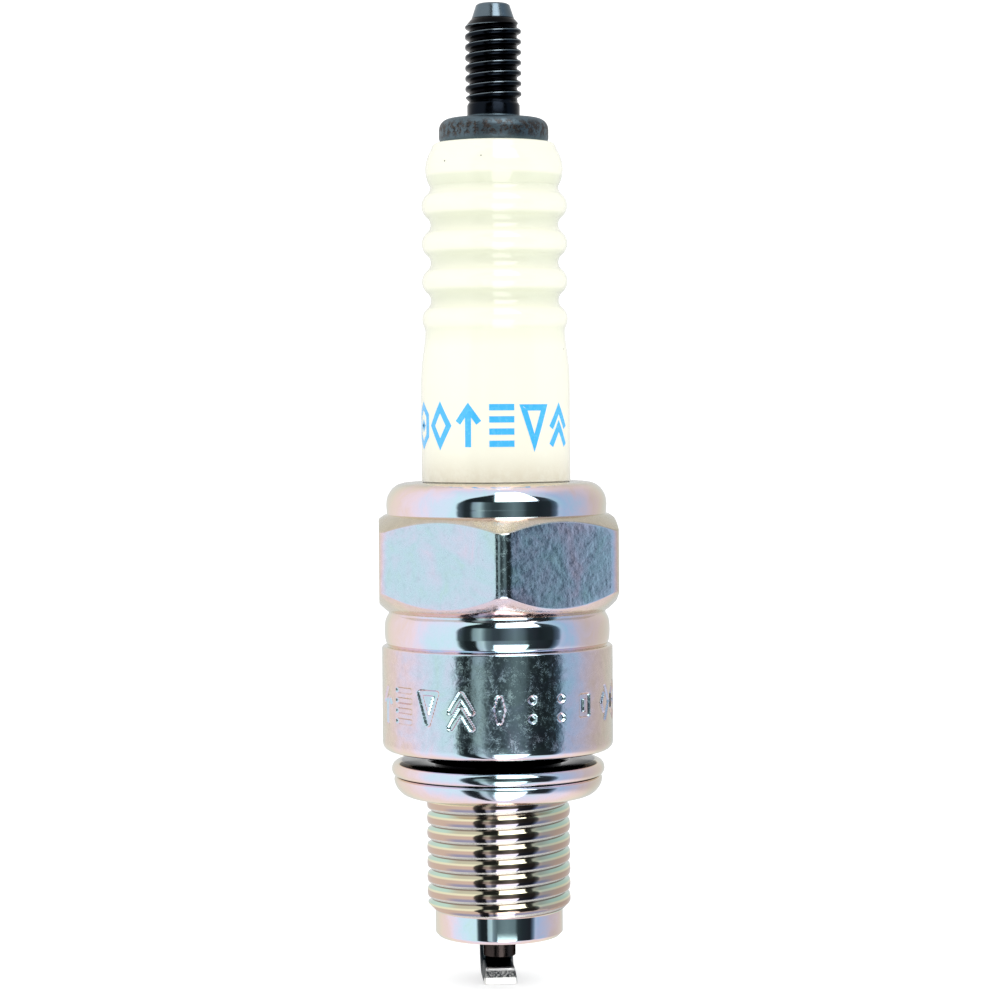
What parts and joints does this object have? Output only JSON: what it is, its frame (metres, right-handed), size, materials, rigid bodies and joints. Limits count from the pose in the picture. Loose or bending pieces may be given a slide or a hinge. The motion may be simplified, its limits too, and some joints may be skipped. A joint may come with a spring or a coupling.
{
  "type": "spark plug",
  "caption": "Small spark plug with a ribbed white insulator, plated hexagonal shell, loose folded gasket, fine-pitch thread, hooked ground electrode and a bare threaded terminal stud.",
  "frame": {"origin": "on the plug's axis, in the plane of the shell's gasket seat", "axes": "+Z along the axis towards the terminal stud, +Y the side the ground electrode is welded on"},
  "size_m": [0.0164, 0.018, 0.0665],
  "materials": {
    "black_oxide_steel": "black oxide, oiled, semi-gloss",
    "glazed_alumina": "clear glaze over cream-white alumina, glossy",
    "zinc_plated_steel": "bright zinc plating with a faint iridescent passivation",
    "plated_gasket_steel": "bright zinc plating, folded sheet",
    "nickel_alloy": "satin drawn nickel alloy with sheared ends",
    "electrode_nickel": "satin drawn nickel alloy",
    "copper": "plain copper",
    "resistor_body": "matt carbon and glass body",
    "seal_glass": "copper-filled conductive glass, matt",
    "plain_steel": "plain cold-drawn steel",
    "talc": "pressed powder, matt"
  },
  "bodies": {
    "plug": {"terminal_stud": "black_oxide_steel", "insulator": "glazed_alumina", "metal_shell": "zinc_plated_steel", "ground_electrode": "nickel_alloy", "center_electrode": "electrode_nickel", "center_electrode_core": "copper", "resistor": "resistor_body", "upper_glass_seal": "seal_glass", "lower_glass_seal": "seal_glass", "packing_washer": "plain_steel", "upper_packing_ring": "plain_steel", "lower_packing_ring": "plain_steel", "talc_ring": "talc"},
    "gasket": {"gasket": "plated_gasket_steel"}
  },
  "joints": [
    {"name": "gasket_slide", "type": "slide", "parent": "plug", "child": "gasket", "axis": [0, 0, 1], "range_m": [0, 0.00071]}
  ]
}
